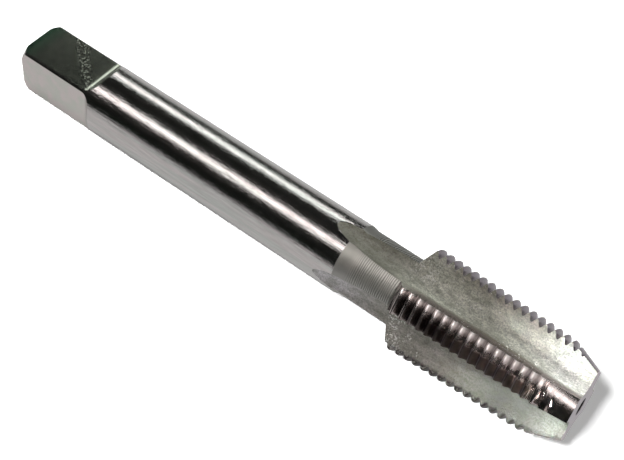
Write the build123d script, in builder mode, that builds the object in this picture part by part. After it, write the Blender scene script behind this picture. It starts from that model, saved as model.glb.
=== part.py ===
from build123d import *
from math import asin, cos, degrees, radians, sin, sqrt, tan
import os

# Straight-fluted hand tap for a 1:16 taper pipe thread, ground from one bar of
# high-speed steel. All sizes are in millimetres and all angles in degrees.
#
# The tap is drawn upright on the Z axis, with the square drive end at z = 0 and the
# tip at z = overall_length. The centrelines of the four flutes and of the four drive
# flats lie at 0, 90, 180 and 270 degrees about Z, and the four lands lie between them.
# At the end the finished tap is laid on its side, as it comes to rest on a table.

# --- Overall ---------------------------------------------------------------------
overall_length = 64.5
shank_diameter = 7.0
shank_length = 39.5
neck_diameter = 6.7
neck_bevel_length = 0.6
drive_chamfer = 0.5
drive_chamfer_crown_radius = 1.5

# --- Square drive ------------------------------------------------------------------
square_across_flats = 5.15
square_flat_length = 8.1
square_run_out_radius = 1.6

# --- Thread: Whitworth flanks, cut off flat at crest and root, on a 1:16 cone --------
threads_per_inch = 28
taper_on_diameter = 1 / 16
gauge_diameter = 9.73
gauge_plane_from_tip = 8.7
half_thread_angle = 27.5
crest_flat_share = 1 / 6  # width of the flat on a crest or in a root, as a share of the pitch
thread_rear = 45.6
rear_cone_angle = 62  # from the axis
first_crest = 46.645  # height of the first full crest, at angle 0
thread_relief = 0.08  # sideways shift of a land's thread axis: the heel clears the cut

# --- Chamfered lead ------------------------------------------------------------------
lead_length = 3.6
tip_diameter = 6.85
lead_relief = 0.25  # the same shift for the chamfer cone

# --- Flutes --------------------------------------------------------------------------
flute_count = 4
web_thickness = 4.74
flute_root_radius = 1.7
flute_wall_angle = 40  # each wall from the flute's centreline
flute_cutter_radius = 40
flute_full_depth_from = 46.9

# --- Centre holes, one in each end ---------------------------------------------------
centre_hole_diameter = 1.25
centre_countersink_diameter = 1.75
countersink_angle = 60
centre_hole_depth = 2.6
drill_point_angle = 118

# --- Worked out from the sizes above -------------------------------------------------
shank_radius = shank_diameter / 2
neck_radius = neck_diameter / 2
tip_radius = tip_diameter / 2
half_square = square_across_flats / 2
pitch = 25.4 / threads_per_inch
crest_flat = pitch * crest_flat_share
thread_depth = (pitch / 2 - crest_flat) / tan(radians(half_thread_angle))
flute_spacing = 360 / flute_count
flute_bottom = web_thickness / 2
drive_face_radius = shank_radius - drive_chamfer

# --- Working sizes of hidden joins and of cutting bodies -------------------------------
below_tip_rim = 0.22  # how far the heart lies below the rim of the tip
heart_radius = tip_radius - below_tip_rim  # solid heart that the four lands grow out of
neck_overlap = 0.2  # how far the neck reaches into the rear cone of the lands
overlap = 0.5  # how far one body reaches into the next where the two are fused
land_sweep = 46  # angle that a land is swept through before the flutes trim it
spare_teeth = 3  # teeth swept below the first crest, where the rear cone trims them
flute_rise_angle = 20  # how far the wheel's path is followed as it rises out of the shank
clear = 8  # a radius outside the whole tap
past_end = 1  # how far a cutter runs past the end of the tap


def major_radius(z):
    """Crest radius of the tapered thread at height z."""
    past_gauge_plane = z - (overall_length - gauge_plane_from_tip)
    return (gauge_diameter - past_gauge_plane * taper_on_diameter) / 2


def draw_teeth(start_angle):
    """Teeth in the radial plane at start_angle, from under the thread to past the tip."""
    lowest_crest = first_crest + pitch * (start_angle / 360 - spare_teeth)
    tooth_count = int((overall_length + past_end - lowest_crest) / pitch) + 1
    half_base = (pitch - crest_flat) / 2
    half_crest = crest_flat / 2
    outline = []
    for tooth in range(tooth_count):
        crest = lowest_crest + tooth * pitch
        for z, depth in (
            (crest - half_base, thread_depth),
            (crest - half_crest, 0),
            (crest + half_crest, 0),
            (crest + half_base, thread_depth),
        ):
            outline.append((major_radius(z) - depth, z))
    land_foot = heart_radius - overlap
    Polyline(*outline, (land_foot, outline[-1][1]), (land_foot, outline[0][1]), close=True)


def threaded_land(land_angle):
    """One land: teeth screwed through its width, then ground to the rear cone and the lead."""
    start_angle = land_angle - land_sweep / 2
    with BuildPart() as teeth:
        with BuildLine():
            Helix(pitch=pitch, height=pitch * land_sweep / 360, radius=gauge_diameter / 2)
        with BuildSketch(Plane.XZ):
            with BuildLine():
                draw_teeth(start_angle)
            make_face()
        sweep(is_frenet=True)

    # Both grinding axes are shifted towards the cutting edge, so the land falls away
    # from its cutting edge to its heel.
    towards_edge = Vector(0, 1, 0).rotate(Axis.Z, land_angle)
    thread_axis = Location(towards_edge * thread_relief, (0, 0, start_angle))
    lead_axis = Location(towards_edge * lead_relief)
    with BuildPart() as land:
        with Locations(thread_axis):
            add(teeth.part)
        with Locations(lead_axis):
            add(ground_outline.part, mode=Mode.INTERSECT)
    return land.part


# Everything inside the rear cone, the lead's chamfer cone and the tip face.
rear_cone_slope = tan(radians(rear_cone_angle))
lead_start = overall_length - lead_length
lead_slope = (major_radius(lead_start) - tip_radius) / lead_length
with BuildPart() as ground_outline:
    with BuildSketch(Plane.XZ):
        with BuildLine():
            Polyline(
                (0, thread_rear - overlap),
                (neck_radius - overlap * rear_cone_slope, thread_rear - overlap),
                (clear, thread_rear + (clear - neck_radius) / rear_cone_slope),
                (clear, overall_length - (clear - tip_radius) / lead_slope),
                (tip_radius, overall_length),
                (0, overall_length),
                close=True,
            )
        make_face()
    revolve(axis=Axis.Z)

# One flute: a V with a rounded bottom, straight along the thread and then rising out of
# the neck and shank on the radius of the grinding wheel.
wall = radians(flute_wall_angle)
wall_foot_x = flute_bottom + flute_root_radius * (1 - sin(wall))
wall_foot_y = flute_root_radius * cos(wall)
mouth_y = wall_foot_y + (clear - wall_foot_x) * tan(wall)
wheel_axis = Axis((flute_bottom + flute_cutter_radius, 0, flute_full_depth_from), (0, -1, 0))
with BuildPart() as flute_cut:
    with BuildSketch(Plane.XY.offset(flute_full_depth_from)) as flute_section:
        with BuildLine():
            ThreePointArc((wall_foot_x, -wall_foot_y), (flute_bottom, 0), (wall_foot_x, wall_foot_y))
            Polyline(
                (wall_foot_x, wall_foot_y),
                (clear, mouth_y),
                (clear, -mouth_y),
                (wall_foot_x, -wall_foot_y),
            )
        make_face()
    extrude(amount=overall_length + past_end - flute_full_depth_from)
    revolve(flute_section.sketch, axis=wheel_axis, revolution_arc=flute_rise_angle)

# One flat of the square, with the round run-out that its cutter leaves.
run_out_end = square_flat_length + square_run_out_radius
with BuildPart() as flat_cut:
    with BuildSketch(Plane.XZ):
        with BuildLine():
            Polyline(
                (half_square, square_flat_length),
                (half_square, -past_end),
                (clear, -past_end),
                (clear, run_out_end),
                (half_square + square_run_out_radius, run_out_end),
            )
            RadiusArc(
                (half_square + square_run_out_radius, run_out_end),
                (half_square, square_flat_length),
                -square_run_out_radius,
            )
        make_face()
    extrude(amount=clear, both=True)

# A centre hole: a countersink and a short drilled pilot, opening at z = 0.
pilot_radius = centre_hole_diameter / 2
countersink_radius = centre_countersink_diameter / 2
countersink_depth = (countersink_radius - pilot_radius) / tan(radians(countersink_angle / 2))
drill_point = pilot_radius / tan(radians(drill_point_angle / 2))
with BuildPart() as centre_hole:
    with BuildSketch(Plane.XZ):
        with BuildLine():
            Polyline(
                (0, 0),
                (countersink_radius, 0),
                (pilot_radius, countersink_depth),
                (pilot_radius, centre_hole_depth),
                (0, centre_hole_depth + drill_point),
                close=True,
            )
        make_face()
    revolve(axis=Axis.Z)

with BuildPart() as upright_tap:
    # Shank, neck and heart turned in one piece.
    with BuildSketch(Plane.XZ):
        with BuildLine():
            Line((0, 0), (drive_face_radius, 0))
            RadiusArc(
                (drive_face_radius, 0),
                (shank_radius, drive_chamfer),
                -drive_chamfer_crown_radius,
            )
            Polyline(
                (shank_radius, drive_chamfer),
                (shank_radius, shank_length),
                (neck_radius, shank_length + neck_bevel_length),
                (neck_radius, thread_rear + neck_overlap),
                (heart_radius, thread_rear + neck_overlap),
                (heart_radius, overall_length),
                (0, overall_length),
                (0, 0),
            )
        make_face()
    revolve(axis=Axis.Z)

    # Four threaded lands. Their teeth lie on one right-hand screw.
    for quarter in range(flute_count):
        add(threaded_land(flute_spacing * (quarter + 0.5)))

    with PolarLocations(0, flute_count):
        add(flute_cut.part, mode=Mode.SUBTRACT)
        add(flat_cut.part, mode=Mode.SUBTRACT)

    add(centre_hole.part, mode=Mode.SUBTRACT)
    with Locations(Location((0, 0, overall_length), (180, 0, 0))):
        add(centre_hole.part, mode=Mode.SUBTRACT)

# --- Laid at rest ------------------------------------------------------------------------
# The tap lies with one flute facing down. The crests on both sides of that flute touch the
# table near the rear of the thread, and the shank touches it where the square ends.
along_wall = wall_foot_x * cos(wall) + wall_foot_y * sin(wall)
crest_radius = major_radius(first_crest)
reach = sqrt(along_wall**2 + crest_radius**2 - wall_foot_x**2 - wall_foot_y**2) - along_wall
crest_drop = wall_foot_x + reach * cos(wall)
square_end = square_flat_length + sqrt(
    square_run_out_radius**2 - (square_run_out_radius - shank_radius + half_square) ** 2
)
rest_tilt = asin((crest_drop - shank_radius) / (first_crest - square_end))
lying = Plane(
    origin=(
        -overall_length * cos(rest_tilt) / 2,
        0,
        shank_radius * cos(rest_tilt) - square_end * sin(rest_tilt),
    ),
    x_dir=(-sin(rest_tilt), 0, cos(rest_tilt)),
    z_dir=(cos(rest_tilt), 0, sin(rest_tilt)),
)
with BuildPart() as tap:
    with Locations(lying.location):
        add(upright_tap.part)

os.makedirs("parts", exist_ok=True)
tap.part.label = "tap"
export_step(tap.part, "parts/tap.step")
print("rest tilt", round(degrees(rest_tilt), 3), "volume", round(tap.part.volume, 1))
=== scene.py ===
"""A straight-fluted taper pipe tap, laid on a white table under soft studio light.

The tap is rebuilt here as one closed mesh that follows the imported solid, with rounded thread
crests and roots, and takes its finish from procedural materials.

Lengths in the tap's own frame are in millimetres. That frame has X along the axis from the
square drive end to the tip, and Z up, out of the upper flute. Angles about the axis are in
degrees from +Z towards -Y, and rise the way the thread does. The camera looks down from -Y, so
it sees the upper flute at 0 degrees, the front flute at 90, and the land between them.
"""

from math import asin, atan2, cos, degrees, pi, radians, sin, sqrt, tan

import bmesh
import bpy
import numpy as np
from mathutils import Matrix, Vector


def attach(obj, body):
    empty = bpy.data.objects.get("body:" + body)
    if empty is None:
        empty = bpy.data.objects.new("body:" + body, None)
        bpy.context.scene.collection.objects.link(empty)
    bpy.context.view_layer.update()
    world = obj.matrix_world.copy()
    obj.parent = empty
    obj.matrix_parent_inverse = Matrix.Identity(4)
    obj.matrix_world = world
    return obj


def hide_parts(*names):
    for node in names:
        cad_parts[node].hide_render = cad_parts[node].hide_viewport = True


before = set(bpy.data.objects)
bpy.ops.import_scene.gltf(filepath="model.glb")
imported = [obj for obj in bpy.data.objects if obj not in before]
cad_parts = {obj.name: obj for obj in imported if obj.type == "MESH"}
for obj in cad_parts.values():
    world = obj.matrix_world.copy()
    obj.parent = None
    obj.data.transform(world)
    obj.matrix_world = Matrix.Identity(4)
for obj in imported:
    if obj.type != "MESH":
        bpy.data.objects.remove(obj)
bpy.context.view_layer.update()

MM = 0.001

# --- Shank and square drive ------------------------------------------------------------
OVERALL_LENGTH = 64.5
SHANK_RADIUS = 3.5
SHANK_LENGTH = 39.5
NECK_RADIUS = 3.35
NECK_BEVEL_LENGTH = 0.6
DRIVE_CHAMFER = 0.5
DRIVE_CHAMFER_CROWN_RADIUS = 1.5

HALF_SQUARE = 5.15 / 2
SQUARE_FLAT_LENGTH = 8.1
RUN_OUT_RADIUS = 1.6
RUN_OUT_HEIGHT = SHANK_RADIUS - HALF_SQUARE
RUN_OUT_LENGTH = sqrt(RUN_OUT_RADIUS**2 - (RUN_OUT_RADIUS - RUN_OUT_HEIGHT) ** 2)
SQUARE_FINISH_LENGTH = 9.5  # the run-outs blend into the shank's polish just before they end

# --- Thread ----------------------------------------------------------------------------
PITCH = 25.4 / 28
TAPER_ON_DIAMETER = 1 / 16
GAUGE_DIAMETER = 9.73
GAUGE_PLANE = OVERALL_LENGTH - 8.7
HALF_THREAD_ANGLE = radians(27.5)
THREAD_REAR = 45.6
REAR_CONE_SLOPE = tan(radians(62))
REAR_CONE_FOOT = 0.2  # the heart starts inside the rear cone, this far past the thread's rear
FIRST_CREST = 46.645

# Half widths along the axis, in pitches.
HALF_CREST_FLAT = 1 / 12  # of the flat that the flanks leave on the crest cone
CREST_ROUNDING = 0.19  # of a rounded crest
HEEL_CREST_ROUNDING = 0.27  # of a crest at a land's heel, where it is worn more
ROOT_ROUNDING = 1 / 6  # of a rounded root

# Degrees about the axis.
HEEL_WEAR_FROM = 8  # from a land's middle to where its crests start to wear more
HEEL_WEAR_OVER = 9  # from there to full wear
HEEL_BREAK = 2.2  # how much narrower each land is at its heel than the flute leaves it

# --- Lead and tip ----------------------------------------------------------------------
LEAD_LENGTH = 3.6
TIP_RADIUS = 6.85 / 2 + 0.08  # a little more than the solid's
HEART_RADIUS = TIP_RADIUS - 0.3  # of the solid heart that the four lands grow out of
TIP_SLANT_FROM = 61.5
TIP_SLANT_UP = -0.06  # mm ground off the tip for each mm up from its axis
TIP_SLANT_BACK = 0.1  # and for each mm towards the back of the scene
TIP_SHORTER = 0.3  # mm ground off at the axis

# Each surface of a land is ground about an axis that is shifted towards the cutting edge, by
# this many mm, so the land falls away to its heel.
THREAD_RELIEF = 0.08
REAR_RELIEF = 0.25
LEAD_RELIEF = 0.5

# --- Flutes ----------------------------------------------------------------------------
FLUTE_BOTTOM = 4.74 / 2
FLUTE_ROOT_RADIUS = 1.7
FLUTE_WALL = radians(40)
WHEEL_RADIUS = 40
FLUTE_FULL_DEPTH_FROM = 46.9
PAST_FLUTE_EDGE = 6.0  # along a flute's section from its bottom, to a point outside the tap

# --- Centre holes ----------------------------------------------------------------------
CENTRE_HOLE_RADIUS = 1.25 / 2
CENTRE_HOLE_DEPTH = 2.6
COUNTERSINK_RADIUS = 1.75 / 2
COUNTERSINK_HALF_ANGLE = radians(30)
DRILL_POINT_HALF_ANGLE = radians(59)

# --- How finely the mesh is drawn ------------------------------------------------------
LANDS = 4
QUARTER = 90
LAND_STEPS = 14  # columns of faces across a land
FLUTE_STEPS = 24  # columns of faces across a flute or a flat
ROWS_PER_PITCH = 14
PITCHES_BEHIND_REAR = 1.5  # rows climb a pitch in each turn, so they start behind the thread
EDGE_HALVINGS = 40  # bisections that find where a flute's wall ends
EDGE_SETTLINGS = 3  # rounds that settle x and angle in each, since the rows climb
END_FACE_RINGS = (0.03, 0.35, 0.7, 1)  # shares of the way from the outline to the countersink
SAME_POINT = 2e-7  # metres
SHARP_EDGE = radians(38)

SHANK, SQUARE, ENDS, NECK, FLUTE, THREAD = range(6)  # material slots


def major_radius(x):
    return (GAUGE_DIAMETER - (x - GAUGE_PLANE) * TAPER_ON_DIAMETER) / 2


def turned_radius(x):
    """Radius of the turned blank, between the drive end and the thread."""
    half_chord = DRIVE_CHAMFER / sqrt(2)
    inset = (sqrt(DRIVE_CHAMFER_CROWN_RADIUS**2 - half_chord**2) - half_chord) / sqrt(2)
    from_centre = min(x, DRIVE_CHAMFER) - DRIVE_CHAMFER - inset
    crown = sqrt(DRIVE_CHAMFER_CROWN_RADIUS**2 - from_centre**2)
    chamfer = SHANK_RADIUS - DRIVE_CHAMFER - inset + crown
    bevel = SHANK_RADIUS - (SHANK_RADIUS - NECK_RADIUS) * (x - SHANK_LENGTH) / NECK_BEVEL_LENGTH
    return min(SHANK_RADIUS, chamfer, max(bevel, NECK_RADIUS))


def offset_circle(radius, shift, angle):
    """A shifted circle's distance from the tap's axis, at an angle from the shift."""
    turn = np.radians(angle)
    return shift * np.cos(turn) + np.sqrt(radius**2 - (shift * np.sin(turn)) ** 2)


def tooth_depth(x, angle, crest_rounding):
    """How far the thread lies below its crest cone: straight flanks, round crests and roots."""
    turns = (x - FIRST_CREST) / PITCH - angle / 360
    from_crest = np.abs(turns - np.round(turns))
    from_root = 0.5 - from_crest
    flank = from_crest - HALF_CREST_FLAT
    crest = (from_crest**2 / crest_rounding + crest_rounding) / 2 - HALF_CREST_FLAT
    root = 0.5 - HALF_CREST_FLAT - (from_root**2 / ROOT_ROUNDING + ROOT_ROUNDING) / 2
    depth = np.where(from_root < ROOT_ROUNDING, root, flank)
    depth = np.where(from_crest < crest_rounding, crest, depth)
    return depth * PITCH / tan(HALF_THREAD_ANGLE)


def land_radius(x, angle, land):
    """Distance from the axis of a land's surface: thread, rear cone and lead cone."""
    from_middle = angle - (land + 0.5) * QUARTER
    from_cutting_side = from_middle - 90
    near_heel = np.clip((-HEEL_WEAR_FROM - from_middle) / HEEL_WEAR_OVER, 0, 1)
    crest_rounding = CREST_ROUNDING + (HEEL_CREST_ROUNDING - CREST_ROUNDING) * near_heel
    teeth = major_radius(x) - tooth_depth(x, angle, crest_rounding)
    lead_slope = (major_radius(OVERALL_LENGTH - LEAD_LENGTH) - TIP_RADIUS) / LEAD_LENGTH
    lead_cone = TIP_RADIUS + (OVERALL_LENGTH - x) * lead_slope
    rear_cone = NECK_RADIUS + (x - THREAD_REAR) * REAR_CONE_SLOPE
    thread = offset_circle(teeth, THREAD_RELIEF, from_cutting_side)
    lead = offset_circle(lead_cone, LEAD_RELIEF, from_cutting_side)
    rear = offset_circle(rear_cone, REAR_RELIEF, from_cutting_side)
    inner = np.where(x < THREAD_REAR + REAR_CONE_FOOT, NECK_RADIUS, HEART_RADIUS)
    return np.maximum(np.minimum(np.minimum(thread, lead), rear), inner)


def flute_point(t, x):
    """Height above the axis and sideways distance of a flute's point, t mm from its bottom."""
    arc_length = FLUTE_ROOT_RADIUS * (pi / 2 - FLUTE_WALL)
    turn = np.minimum(t, arc_length) / FLUTE_ROOT_RADIUS
    along_wall = np.maximum(t - arc_length, 0)
    height = FLUTE_ROOT_RADIUS * (1 - np.cos(turn)) + along_wall * cos(FLUTE_WALL)
    sideways = FLUTE_ROOT_RADIUS * np.sin(turn) + along_wall * sin(FLUTE_WALL)
    before = np.maximum(FLUTE_FULL_DEPTH_FROM - x, 0)
    rise = WHEEL_RADIUS - np.sqrt((WHEEL_RADIUS - height) ** 2 - before**2)
    return FLUTE_BOTTOM + rise, sideways


def flute_edge(flute, side, row_x, surface):
    """Where a flute's wall meets the surface outside it, on each row: t, x and angle."""
    row_count = len(row_x(np.zeros(1)))
    low, high = np.zeros(row_count), np.full(row_count, PAST_FLUTE_EDGE)
    for _ in range(EDGE_HALVINGS):
        t = (low + high) / 2
        angle = np.full(row_count, flute * QUARTER, float)
        for _ in range(EDGE_SETTLINGS):
            x = row_x(angle)
            height, sideways = flute_point(t, x)
            angle = flute * QUARTER + side * np.degrees(np.arctan2(sideways, height))
        outside = np.hypot(height, sideways) > surface(x, angle)
        high = np.where(outside, t, high)
        low = np.where(outside, low, t)
    return t, x, angle


def placed(x, angle, radius):
    turn = np.radians(angle)
    place = np.broadcast_arrays(x, -radius * np.sin(turn), radius * np.cos(turn))
    return np.stack(place, -1)


def fluted_rows(row_x, surfaces):
    """Rings of points: each land from its heel to its cutting edge, then the flute after it."""
    columns = []
    left = [flute_edge(i, -1, row_x, surfaces[(i - 1) % LANDS]) for i in range(LANDS + 1)]
    right = [flute_edge(i, 1, row_x, surfaces[i % LANDS]) for i in range(LANDS + 1)]
    for land in range(LANDS):
        _, heel_x, heel_angle = right[land]
        cutting_t, cutting_x, cutting_angle = left[land + 1]
        next_t, next_x, _ = right[land + 1]
        start = heel_angle + HEEL_BREAK * np.clip(heel_x - THREAD_REAR, 0, 1)
        for step in range(LAND_STEPS + 1):
            angle = start + (cutting_angle - start) * step / LAND_STEPS
            x = row_x(angle)
            columns.append(placed(x, angle, surfaces[land](x, angle)))
        for step in range(1, FLUTE_STEPS):
            across = 2 * step / FLUTE_STEPS - 1
            t = abs(across) * (cutting_t if across < 0 else next_t)
            x = cutting_x + (next_x - cutting_x) * (across + 1) / 2
            height, sideways = flute_point(t, x)
            off_middle = np.sign(across) * np.degrees(np.arctan2(sideways, height))
            angle = (land + 1) * QUARTER + off_middle
            columns.append(placed(x, angle, np.hypot(height, sideways)))
    return np.stack(columns, 1)


def thread_rows():
    pitches = int((OVERALL_LENGTH - THREAD_REAR) / PITCH + PITCHES_BEHIND_REAR + 1)
    climb = np.arange(pitches * ROWS_PER_PITCH) * PITCH / ROWS_PER_PITCH
    first = THREAD_REAR - PITCH * PITCHES_BEHIND_REAR

    def row_x(angle):
        return np.clip(first + climb + PITCH * angle / 360, THREAD_REAR, OVERALL_LENGTH)

    surfaces = [lambda x, angle, land=land: land_radius(x, angle, land) for land in range(LANDS)]
    return fluted_rows(row_x, surfaces)


def neck_rows():
    """Shank end and neck, where the flutes run out. A station is a row's place along the tap."""
    wheel_to_shank = WHEEL_RADIUS + FLUTE_BOTTOM - SHANK_RADIUS
    start = FLUTE_FULL_DEPTH_FROM - sqrt(WHEEL_RADIUS**2 - wheel_to_shank**2)
    bevel_end = SHANK_LENGTH + NECK_BEVEL_LENGTH
    shank_end = start + (SHANK_LENGTH - start) * np.linspace(0, 1, 12) ** 1.6
    bevel = SHANK_LENGTH + NECK_BEVEL_LENGTH * np.linspace(0.25, 1, 4)
    neck = np.linspace(bevel_end + 0.3, THREAD_REAR, 16)
    stations = np.concatenate([shank_end, bevel, neck])
    radii = np.array([turned_radius(x) for x in stations])
    return fluted_rows(lambda angle: stations + 0 * angle, [lambda x, angle: radii] * LANDS)


def shank_rows():
    """Square drive and plain shank. The flats take the columns that the flutes have later."""
    chamfer = DRIVE_CHAMFER * np.linspace(0, 1, 6)
    flats = np.linspace(1, SQUARE_FLAT_LENGTH, 8)
    run_out = SQUARE_FLAT_LENGTH + RUN_OUT_LENGTH * np.sin(np.linspace(0, pi / 2, 16)[1:])
    plain = np.linspace(10, 36, 14)
    rows = []
    for x in np.concatenate([chamfer, flats, run_out, plain]):
        radius = turned_radius(x)
        into_run_out = min(max(x - SQUARE_FLAT_LENGTH, 0), RUN_OUT_LENGTH)
        rise = RUN_OUT_RADIUS - sqrt(RUN_OUT_RADIUS**2 - into_run_out**2)
        height = HALF_SQUARE + rise
        half_width = sqrt(max(radius**2 - height**2, 0))
        half_angle = degrees(atan2(half_width, height))
        row = []
        for land in range(LANDS):
            start = land * QUARTER + half_angle
            for step in range(LAND_STEPS + 1):
                angle = start + (QUARTER - 2 * half_angle) * step / LAND_STEPS
                row.append(placed(x, angle, radius))
            for step in range(1, FLUTE_STEPS):
                sideways = half_width * (2 * step / FLUTE_STEPS - 1)
                angle = (land + 1) * QUARTER + degrees(atan2(sideways, height))
                reach = sqrt(height**2 + sideways**2) if half_width else radius
                row.append(placed(x, angle, reach))
        rows.append(row)
    return np.array(rows)


def end_rows(outline, face_x, inward):
    """From an end's outline across its flat face, down the centre hole and to its point."""
    sideways, up = outline[:, 1], outline[:, 2]
    reach = np.hypot(sideways, up)
    unit = np.stack([0 * reach, sideways / reach, up / reach], -1)
    step_in = COUNTERSINK_RADIUS - CENTRE_HOLE_RADIUS
    countersink_depth = step_in / tan(COUNTERSINK_HALF_ANGLE)
    point_depth = CENTRE_HOLE_DEPTH + CENTRE_HOLE_RADIUS / tan(DRILL_POINT_HALF_ANGLE)
    rows = []
    for share in END_FACE_RINGS:
        radius = reach + (COUNTERSINK_RADIUS - reach) * share
        rows.append(unit * radius[:, None] + [face_x, 0, 0])
    for radius, depth in (
        (CENTRE_HOLE_RADIUS, countersink_depth),
        (CENTRE_HOLE_RADIUS, CENTRE_HOLE_DEPTH),
        (0, point_depth),
    ):
        rows.append(unit * radius + [face_x + inward * depth, 0, 0])
    return np.array(rows)


def tip_ground_off(points):
    """How far the tip falls short of the full length: its face is slightly out of square."""
    past_start = points[..., 0] - TIP_SLANT_FROM
    near_tip = np.clip(past_start / (OVERALL_LENGTH - TIP_SLANT_FROM), 0, 1)
    slant = TIP_SLANT_UP * points[..., 2] + TIP_SLANT_BACK * points[..., 1]
    return near_tip * (slant + TIP_SHORTER)


def resting_place():
    """Lays the tap's frame in the scene, on two thread crests and the end of the square."""
    wall_foot_x = FLUTE_BOTTOM + FLUTE_ROOT_RADIUS * (1 - sin(FLUTE_WALL))
    wall_foot_y = FLUTE_ROOT_RADIUS * cos(FLUTE_WALL)
    along_wall = wall_foot_x * cos(FLUTE_WALL) + wall_foot_y * sin(FLUTE_WALL)
    crest_radius = major_radius(FIRST_CREST)
    past_foot = crest_radius**2 - wall_foot_x**2 - wall_foot_y**2
    reach = sqrt(along_wall**2 + past_foot) - along_wall
    crest_drop = wall_foot_x + reach * cos(FLUTE_WALL)
    square_end = SQUARE_FLAT_LENGTH + RUN_OUT_LENGTH
    tilt = asin((crest_drop - SHANK_RADIUS) / (FIRST_CREST - square_end))
    drive_end_x = -OVERALL_LENGTH * cos(tilt) / 2
    drive_end_z = SHANK_RADIUS * cos(tilt) - square_end * sin(tilt)
    origin = Vector((drive_end_x, 0, drive_end_z)) * MM
    return Matrix.Translation(origin) @ Matrix.Rotation(-tilt, 4, "Y")


def build_tap():
    shank = shank_rows()
    neck = neck_rows()
    thread = thread_rows()
    drive_end = end_rows(shank[0], 0, 1)[::-1]
    tip_end = end_rows(thread[-1], OVERALL_LENGTH, -1)
    rows = np.concatenate([drive_end, shank, neck, thread, tip_end])
    rows[..., 0] -= tip_ground_off(rows)
    row_count, column_count = rows.shape[:2]
    first_shank_row = len(drive_end)
    first_neck_row = first_shank_row + len(shank)
    first_thread_row = first_neck_row + len(neck)
    last_thread_row = first_thread_row + len(thread) - 1

    def closing_row(row):
        """The row that a row's last column joins: thread rows climb one pitch a turn."""
        if first_thread_row <= row <= last_thread_row:
            return min(row + ROWS_PER_PITCH, last_thread_row)
        return row

    def slot(row, column):
        on_land = column % (LAND_STEPS + FLUTE_STEPS) < LAND_STEPS
        x = rows[row, column, 0]
        if row < first_shank_row or row >= last_thread_row:
            return ENDS
        if row < first_neck_row:
            return SHANK if on_land or x > SQUARE_FINISH_LENGTH else SQUARE
        if not on_land:
            return FLUTE
        if row < first_thread_row:
            return SHANK if x < SHANK_LENGTH else NECK
        return THREAD

    faces, slots = [], []
    for row in range(row_count - 1):
        for column in range(column_count):
            following = (column + 1) % column_count
            low, high = row, row + 1
            if following == 0:
                low, high = closing_row(low), closing_row(high)
            faces.append(
                (
                    row * column_count + column,
                    low * column_count + following,
                    high * column_count + following,
                    (row + 1) * column_count + column,
                )
            )
            slots.append(slot(row, column))

    mesh = bpy.data.meshes.new("tap_ground")
    mesh.from_pydata((rows.reshape(-1, 3) * MM).tolist(), [], faces)
    mesh.polygons.foreach_set("material_index", slots)
    place = mesh.attributes.new("place", "FLOAT_VECTOR", "POINT")
    place.data.foreach_set("vector", rows.reshape(-1).astype(np.float32))
    mesh.transform(resting_place())
    work = bmesh.new()
    work.from_mesh(mesh)
    bmesh.ops.remove_doubles(work, verts=work.verts, dist=SAME_POINT)
    bmesh.ops.recalc_face_normals(work, faces=work.faces)
    work.to_mesh(mesh)
    work.free()
    mesh.shade_smooth()
    mesh.set_sharp_from_angle(angle=SHARP_EDGE)
    tap = bpy.data.objects.new("tap_ground", mesh)
    bpy.context.scene.collection.objects.link(tap)
    return tap


tap = build_tap()
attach(tap, "root")
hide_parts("tap")


# --- Finishes --------------------------------------------------------------------------
RING_PITCH = 0.21  # mm between the turning marks on the neck


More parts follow.
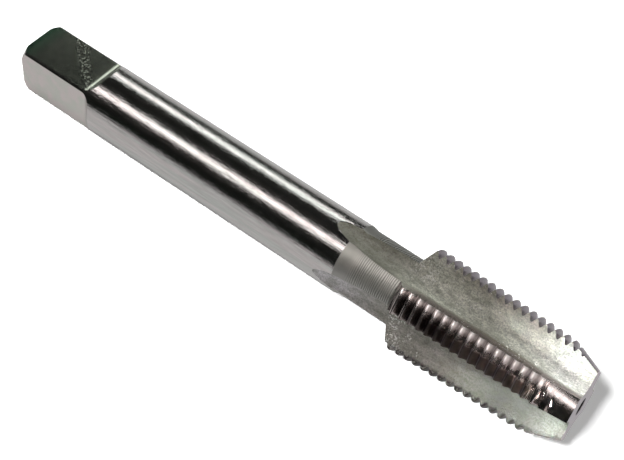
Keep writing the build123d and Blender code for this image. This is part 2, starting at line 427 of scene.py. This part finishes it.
class Finish:
    """A metal, drawn by nodes from the place of each point in the tap's own frame, in mm."""

    def __init__(self, name):
        self.material = bpy.data.materials.new(name)
        self.material.use_nodes = True
        self.tree = self.material.node_tree
        self.shader = self.tree.nodes["Principled BSDF"]
        self.shader.inputs["Metallic"].default_value = 1
        self.place = self.node("ShaderNodeAttribute", attribute_name="place").outputs["Vector"]
        split = self.node("ShaderNodeSeparateXYZ", {"Vector": self.place})
        self.x, self.y, self.z = split.outputs

    def node(self, kind, inputs=None, **settings):
        made = self.tree.nodes.new(kind)
        for key, value in settings.items():
            setattr(made, key, value)
        for key, value in (inputs or {}).items():
            if isinstance(value, bpy.types.NodeSocket):
                self.tree.links.new(value, made.inputs[key])
            else:
                made.inputs[key].default_value = value
        return made

    def math(self, operation, a, b=0.0):
        return self.node("ShaderNodeMath", {0: a, 1: b}, operation=operation).outputs[0]

    def plus(self, a, b):
        return self.math("ADD", a, b)

    def times(self, first, *others):
        for other in others:
            first = self.math("MULTIPLY", first, other)
        return first

    def band(self, value, start, end, low=0, high=1):
        """`low` at `start` and `high` at `end`, with a ramp between them and level outside."""
        inputs = {0: value, 1: start, 2: end, 3: low, 4: high}
        return self.node("ShaderNodeMapRange", inputs, clamp=True).outputs[0]

    def zone(self, value, start, full_from, full_to, end):
        """1 from `full_from` to `full_to`, fading to 0 at `start` and at `end`."""
        return self.times(self.band(value, start, full_from), self.band(value, end, full_to))

    def stretched(self, along, across):
        """The place, with its axial part scaled by `along` and the rest by `across`."""
        inputs = {0: self.place, 1: (along, across, across)}
        return self.node("ShaderNodeVectorMath", inputs, operation="MULTIPLY").outputs[0]

    def from_axis(self):
        inputs = {0: self.stretched(0, 1)}
        return self.node("ShaderNodeVectorMath", inputs, operation="LENGTH").outputs["Value"]

    def below_crest(self):
        """Depth below the cone of the thread's crests."""
        crest = self.plus(self.times(self.x, -TAPER_ON_DIAMETER / 2), major_radius(0))
        return self.math("SUBTRACT", crest, self.from_axis())

    def towards_upper(self, start, end):
        """A ramp across the tap, over y + z, from the front flute to the upper one."""
        return self.band(self.plus(self.y, self.z), start, end)

    def noise(self, along, across, detail=2, roughness=0.5):
        inputs = {
            "Vector": self.stretched(along, across),
            "Scale": 1,
            "Detail": detail,
            "Roughness": roughness,
        }
        return self.node("ShaderNodeTexNoise", inputs).outputs["Fac"]

    def grains(self, size, keep):
        """1 on a random share, `keep`, of grains `size` mm apart, and 0 elsewhere."""
        inputs = {"Vector": self.place, "Scale": 1 / size}
        grain = self.node("ShaderNodeTexVoronoi", inputs, feature="F1")
        pick = self.node("ShaderNodeSeparateColor", {"Color": grain.outputs["Color"]}).outputs[0]
        return self.band(pick, 1 - keep, 1 - keep + 0.01)

    def blend(self, share, a, b):
        made = self.node("ShaderNodeMix", data_type="RGBA")
        for socket, value in ((made.inputs[0], share), (made.inputs[6], a), (made.inputs[7], b)):
            if isinstance(value, bpy.types.NodeSocket):
                self.tree.links.new(value, socket)
            else:
                socket.default_value = (*value, 1)
        return made.outputs[2]

    def bump(self, height, distance, normal=None):
        inputs = {"Height": height, "Distance": distance * MM, "Strength": 1}
        if normal is not None:
            inputs["Normal"] = normal
        return self.node("ShaderNodeBump", inputs).outputs[0]

    def finish(self, color, roughness, normal):
        for key, value in (("Base Color", color), ("Roughness", roughness), ("Normal", normal)):
            self.tree.links.new(value, self.shader.inputs[key])
        return self.material


def polished_shank():
    """Polished lengthwise, with fine streaks and broad bands of tint."""
    f = Finish("polished_shank")
    streaks = f.noise(0.4, 11, 3, 0.7)
    dashes = f.noise(1.6, 6, 2, 0.6)
    broad = f.noise(0.08, 2.2)
    tint = f.blend(f.band(broad, 0.4, 0.6), (0.60, 0.61, 0.585), (0.66, 0.62, 0.61))
    color = f.blend(f.band(streaks, 0.35, 0.7, 0, 0.5), tint, (0.40, 0.38, 0.36))
    roughness = f.band(streaks, 0.3, 0.7, 0.12, 0.24)
    return f.finish(color, roughness, f.bump(streaks, 0.01, f.bump(dashes, 0.011)))


def ground_square():
    """Pale ground flats. The upper one is painted darker as shade, with a slanting line of
    bright grains.
    """
    f = Finish("ground_square")
    grain = f.noise(6, 6, 3, 0.7)
    patches = f.noise(0.9, 0.9)
    tint = f.blend(f.band(patches, 0.38, 0.62), (0.60, 0.60, 0.55), (0.66, 0.60, 0.58))
    on_top = f.band(f.z, 2.3, 2.5)
    # Painted shade: the upper flat is darker than the side flats.
    tint = f.blend(on_top, tint, (0.40, 0.43, 0.36))
    color = f.blend(f.times(on_top, f.band(f.x, 1.8, 0)), tint, (0.20, 0.42, 0.28))

    off_line = f.math("ABSOLUTE", f.plus(f.x, f.plus(f.times(f.y, 1.15), -6.2)))
    bright = f.times(f.grains(0.13, 0.16), f.band(off_line, 1.1, 0.2), on_top)
    roughness = f.plus(f.band(grain, 0.35, 0.65, 0.15, 0.21), f.times(bright, 0.25))
    return f.finish(color, roughness, f.bump(grain, 0.007))


def turned_neck():
    """Turned rings that wander and fade in places, on a stained ground, with painted shade on
    its lower part and its far side.
    """
    f = Finish("turned_neck")
    wander = f.times(f.noise(1.5, 0.5), 9)
    strength = f.times(f.band(f.x, 40.6, 41.6), f.band(f.noise(0.9, 0.9), 0.3, 0.55, 0.4, 1))
    rings = f.math("SINE", f.plus(f.times(f.x, 2 * pi / RING_PITCH), wander))
    rings = f.times(rings, strength)

    tint = f.blend(f.band(f.noise(0.6, 0.6), 0.35, 0.65), (0.50, 0.50, 0.45), (0.62, 0.60, 0.55))
    # Painted shade: darker below the neck's top, and much darker on its far side.
    tint = f.blend(f.band(f.z, 1.6, 2.2), (0.34, 0.33, 0.31), tint)
    tint = f.blend(f.band(f.y, 0.4, 1.2), tint, (0.11, 0.11, 0.10))
    color = f.blend(f.band(rings, -1, 1, 0, 0.5), tint, (0.85, 0.84, 0.79))
    color = f.blend(f.band(rings, -0.2, -1, 0, 0.7), color, (0.22, 0.22, 0.19))
    return f.finish(color, f.band(rings, -1, 1, 0.6, 0.42), f.bump(rings, 0.006))


def satin_flute():
    """Satin steel, with its own run of tints in the upper flute and in the front one, which
    paint light and shade along each flute.
    """
    f = Finish("satin_flute")
    # Painted light and shade: the upper flute is darker near the neck and brightens towards the
    # tip, where light pools.
    upper = f.blend(f.band(f.x, 43, 48), (0.50, 0.49, 0.43), (1.0, 1.0, 0.90))
    upper = f.blend(f.band(f.x, 57, 62), upper, (0.98, 0.97, 0.93))
    # Painted shade on the upper flute's front side, and a brown painted shade along its far side
    # under the upper land's teeth.
    front_side = f.times(f.zone(f.x, 49, 54, 58.5, 62), f.band(f.y, 0.1, -0.9))
    upper = f.blend(f.times(front_side, 0.75), upper, (0.20, 0.17, 0.14))
    far_side = f.times(f.zone(f.x, 47, 50, 56, 60), f.band(f.y, 1.5, 2.3))
    upper = f.blend(f.times(far_side, 0.45), upper, (0.36, 0.28, 0.24))

    # Painted light and shade along the front flute too: light near the neck, dark in the middle,
    # light again at the tip.
    front = f.blend(f.band(f.x, 40, 46), (0.82, 0.79, 0.81), (0.62, 0.59, 0.55))
    front = f.blend(f.band(f.x, 52, 58), front, (0.23, 0.23, 0.22))
    front = f.blend(f.band(f.x, 60.5, 63.5), front, (0.60, 0.60, 0.57))
    in_upper = f.towards_upper(-0.5, 0.5)
    tint = f.blend(in_upper, front, upper)

    # Cloudy stains, a painted line of shade where the upper flute ends at the land's heel, and
    # grain.
    mottle = f.noise(0.9, 2.4, 4, 0.65)
    grain = f.noise(6.5, 6.5, 3, 0.7)
    tint = f.blend(f.band(mottle, 0.35, 0.62, 0.5, 0), tint, (0.22, 0.24, 0.17))
    at_heel = f.times(f.band(f.y, -0.6, -1.3), f.band(f.z, 2, 2.3), f.band(f.x, 46, 48))
    tint = f.blend(f.times(at_heel, 0.8), tint, (0.26, 0.21, 0.20))
    tint = f.blend(f.band(grain, 0.36, 0.58, 0.5, 0), tint, (0.12, 0.12, 0.10))

    # Painted shade on the teeth along the front flute's lower edge, broken into patches by
    # noise.
    outer_front = f.towards_upper(-0.5, -1)
    on_teeth = f.times(f.band(f.below_crest(), 0.65, 0.4), outer_front, f.band(f.x, 60, 57))
    painted_teeth_shade = f.times(on_teeth, f.band(f.noise(4, 4), 0.38, 0.5))
    tint = f.blend(f.times(painted_teeth_shade, 0.85), tint, (0.06, 0.045, 0.05))

    # Bright flecks in clusters, and more of them as burrs at the rear of the lands.
    flecks = f.times(f.grains(0.13, 0.06), f.band(f.noise(0.5, 0.5), 0.5, 0.62))
    off_front_tip = f.math("MAXIMUM", in_upper, f.band(f.x, 52, 49))
    flecks = f.times(flecks, f.band(f.x, 44.5, 46), off_front_tip)
    off_web = f.band(f.math("SUBTRACT", f.y, f.z), -2.3, -1.4)
    burrs = f.times(f.grains(0.12, 0.3), f.band(f.noise(1, 1), 0.4, 0.5))
    burrs = f.times(burrs, f.zone(f.x, 44.8, 45.6, 46.5, 48.8))
    burrs = f.times(burrs, f.math("MAXIMUM", off_web, outer_front))
    flecks = f.math("MAXIMUM", flecks, burrs)
    color = f.blend(flecks, tint, (1, 1, 0.95))
    roughness = f.math("SUBTRACT", f.band(grain, 0.3, 0.7, 0.5, 0.7), f.times(flecks, 0.3))
    return f.finish(color, roughness, f.bump(grain, 0.09))


def ground_thread():
    """Ground lands, with crests worn rounder at the heel: painted highlight at the heel in
    front, painted shade towards the cutting edge, on the upper land and in the roots.
    """
    f = Finish("ground_thread")
    grain = f.noise(7, 0.6, 2, 0.6)
    spots = f.noise(2, 2, 3, 0.6)
    tint = f.blend(f.band(spots, 0.35, 0.65), (0.40, 0.34, 0.32), (0.62, 0.56, 0.54))

    height = f.plus(f.times(f.y, 1.1), f.z)
    near_heel = f.times(f.band(height, -0.4, 0.9), f.band(f.y, -0.5, -1))
    near_heel = f.times(near_heel, f.band(f.x, 47, 50, 0.3, 1), f.band(f.x, 61.4, 60.8, 0.35, 1))
    # Painted highlight: near white towards the heel of the land in front.
    tint = f.blend(f.times(near_heel, 0.9), tint, (1.0, 0.94, 0.92))
    # Painted shade: almost black towards the cutting edge of the land in front.
    near_cutting_edge = f.times(f.band(height, -0.1, -0.7), f.zone(f.x, 47, 50, 60.4, 61.2))
    tint = f.blend(f.times(near_cutting_edge, 0.95), tint, (0.06, 0.047, 0.04))
    # Painted shade: the upper land is darker.
    on_upper_land = f.towards_upper(4.4, 5.4)
    tint = f.blend(on_upper_land, tint, (0.25, 0.22, 0.24))
    # Painted shade in the thread's roots.
    in_groove = f.times(f.band(f.below_crest(), 0.3, 0.55), f.band(f.x, 61.5, 60.5))
    color = f.blend(f.times(in_groove, 0.7), tint, (0.10, 0.08, 0.075))

    roughness = f.plus(f.band(grain, 0.3, 0.7, 0.14, 0.24), f.times(near_heel, 0.16))
    roughness = f.plus(roughness, f.times(near_cutting_edge, 0.14))
    return f.finish(color, roughness, f.bump(grain, 0.004))


def ground_ends():
    """Ground end faces, with painted shade filling the centre holes."""
    f = Finish("ground_ends")
    grain = f.noise(3, 3, 3, 0.6)
    ground = f.blend(f.band(grain, 0.35, 0.65), (0.44, 0.39, 0.42), (0.58, 0.52, 0.55))
    # Painted shade: the centre holes are nearly black inside.
    off_hole = f.band(f.from_axis(), COUNTERSINK_RADIUS - 0.05, COUNTERSINK_RADIUS + 0.02)
    color = f.blend(off_hole, (0.02, 0.02, 0.02), ground)
    return f.finish(color, f.band(grain, 0.3, 0.7, 0.28, 0.4), f.bump(grain, 0.01))


finishes = {
    SHANK: polished_shank,
    SQUARE: ground_square,
    ENDS: ground_ends,
    NECK: turned_neck,
    FLUTE: satin_flute,
    THREAD: ground_thread,
}
for slot_number in sorted(finishes):
    tap.data.materials.append(finishes[slot_number]())

# --- Floor, light and camera, in metres ------------------------------------------------
FLOOR_SIZE = 4
FLOOR_WHITE = (0.9, 0.9, 0.9, 1)
FLOOR_GLOW = 0.35  # what a camera sees of the floor's white, whatever the shadow
FLOOR_IN_METAL = 0.62  # how bright the floor looks in a reflection
CONTACT_REACH = 2 * MM  # painted contact shadow: the floor darkens in reflections this close to the tap
ROOM_IN_METAL = (0.005, 0.006, 0.005, 1)

STRIP_CENTRE = -0.1  # along the tap
STRIP_DISTANCE = 0.3
STRIP_LENGTH = 3.0  # so long that the thread's flanks show it too, after a few bounces

TIP_LIGHT_SIZE = 0.02
TIP_LIGHT_SPREAD = radians(8)
TIP_LIGHT_TARGET = Vector((37.5, 0, 8)) * MM

FLOOR_LIGHT_SIZE = 0.08
FLOOR_LIGHT_WATTS = 3.1
FLOOR_LIGHT_PLACE = Vector((0, -208, 340)) * MM

CAMERA_PLACE = Vector((60.01, -84.09, 128.28)) * MM
CAMERA_AZIMUTH = 34.438
CAMERA_ELEVATION = 50.542
CAMERA_ROLL = 6.010
FOCAL_PIXELS = 1750
PHOTO_WIDTH = 624
SENSOR_WIDTH = 36


def white_floor():
    """A matt floor that takes the shadow, and a plain bright one in the metal, with a painted
    contact shadow near the tap.
    """
    bpy.ops.mesh.primitive_plane_add(size=FLOOR_SIZE)
    floor = bpy.context.object
    floor.name = "floor"
    material = bpy.data.materials.new("white_floor")
    material.use_nodes = True
    tree = material.node_tree
    tree.nodes.clear()
    new, link = tree.nodes.new, tree.links.new
    paths = new("ShaderNodeLightPath")
    matt = new("ShaderNodeBsdfDiffuse")
    matt.inputs["Color"].default_value = FLOOR_WHITE
    glow = new("ShaderNodeEmission")
    glow.inputs["Strength"].default_value = FLOOR_GLOW
    seen = new("ShaderNodeAddShader")
    link(matt.outputs[0], seen.inputs[0])
    link(glow.outputs[0], seen.inputs[1])
    # Painted contact shadow in the metal's reflection of the floor.
    contact = new("ShaderNodeAmbientOcclusion")
    contact.inputs["Distance"].default_value = CONTACT_REACH
    reflected = new("ShaderNodeEmission")
    link(contact.outputs["AO"], reflected.inputs["Color"])
    reflected.inputs["Strength"].default_value = FLOOR_IN_METAL
    to_camera = new("ShaderNodeMixShader")
    link(paths.outputs["Is Camera Ray"], to_camera.inputs[0])
    link(matt.outputs[0], to_camera.inputs[1])
    link(seen.outputs[0], to_camera.inputs[2])
    to_metal = new("ShaderNodeMixShader")
    link(paths.outputs["Is Glossy Ray"], to_metal.inputs[0])
    link(to_camera.outputs[0], to_metal.inputs[1])
    link(reflected.outputs[0], to_metal.inputs[2])
    output = new("ShaderNodeOutputMaterial")
    link(to_metal.outputs[0], output.inputs[0])
    floor.data.materials.append(material)


def dark_studio():
    """White for the camera and dark in the metal, so it shows only the lights and the floor."""
    world = bpy.data.worlds.new("studio")
    world.use_nodes = True
    tree = world.node_tree
    room = tree.nodes["Background"]
    room.inputs["Color"].default_value = ROOM_IN_METAL
    white = tree.nodes.new("ShaderNodeBackground")
    white.inputs["Color"].default_value = (1, 1, 1, 1)
    paths = tree.nodes.new("ShaderNodeLightPath")
    choose = tree.nodes.new("ShaderNodeMixShader")
    tree.links.new(paths.outputs["Is Camera Ray"], choose.inputs[0])
    tree.links.new(room.outputs[0], choose.inputs[1])
    tree.links.new(white.outputs[0], choose.inputs[2])
    tree.links.new(choose.outputs[0], tree.nodes["World Output"].inputs[0])
    bpy.context.scene.world = world


def area_light(name, size, watts):
    data = bpy.data.lights.new(name, "AREA")
    data.size = size
    data.energy = watts
    light = bpy.data.objects.new(name, data)
    bpy.context.scene.collection.objects.link(light)
    return light


def softbox(name, angle, width, radiance, color):
    """A strip light along the tap, for reflections only, at an angle from above to the front."""
    light = area_light(name, STRIP_LENGTH, radiance * pi * STRIP_LENGTH * width)
    light.data.shape = "RECTANGLE"
    light.data.size_y = width
    light.data.color = color
    turn = radians(angle)
    place = Vector((STRIP_CENTRE, -STRIP_DISTANCE * sin(turn), STRIP_DISTANCE * cos(turn)))
    light.matrix_world = Matrix.Translation(place) @ Matrix.Rotation(turn, 4, "X")
    light.visible_diffuse = False


def tip_light(name, place, watts):
    """A small gridded light that reaches only the flutes near the tip, in the metal alone."""
    light = area_light(name, TIP_LIGHT_SIZE, watts)
    light.data.spread = TIP_LIGHT_SPREAD
    light.location = Vector(place) * MM
    aim = light.location - TIP_LIGHT_TARGET
    light.rotation_euler = aim.to_track_quat("Z", "Y").to_euler()
    light.visible_diffuse = False
    light.visible_camera = False


def floor_light():
    """The floor's own light. It stands near the camera, so the shadow shows beside the tip."""
    light = area_light("floor_light", FLOOR_LIGHT_SIZE, FLOOR_LIGHT_WATTS)
    light.location = FLOOR_LIGHT_PLACE
    light.rotation_euler = light.location.to_track_quat("Z", "Y").to_euler()
    light.visible_glossy = False


def photo_camera():
    data = bpy.data.cameras.new("camera")
    data.sensor_fit = "HORIZONTAL"
    data.sensor_width = SENSOR_WIDTH
    data.lens = SENSOR_WIDTH * FOCAL_PIXELS / PHOTO_WIDTH
    data.clip_start = 0.01
    camera = bpy.data.objects.new("camera", data)
    bpy.context.scene.collection.objects.link(camera)
    camera.matrix_world = (
        Matrix.Translation(CAMERA_PLACE)
        @ Matrix.Rotation(radians(CAMERA_AZIMUTH), 4, "Z")
        @ Matrix.Rotation(radians(90 - CAMERA_ELEVATION), 4, "X")
        @ Matrix.Rotation(radians(CAMERA_ROLL), 4, "Z")
    )
    return camera


white_floor()
dark_studio()
softbox("front_strip", 25, 0.062, 3.2, (1, 0.95, 0.94))
softbox("back_strip", -52, 0.075, 2.6, (0.98, 1, 0.98))
tip_light("tip_light_front", (-11, -82, 42), 0.0026)
tip_light("tip_light_back", (14, 50, 79), 0.0009)
floor_light()
bpy.context.scene.camera = photo_camera()
bpy.context.scene.view_settings.view_transform = "Standard"
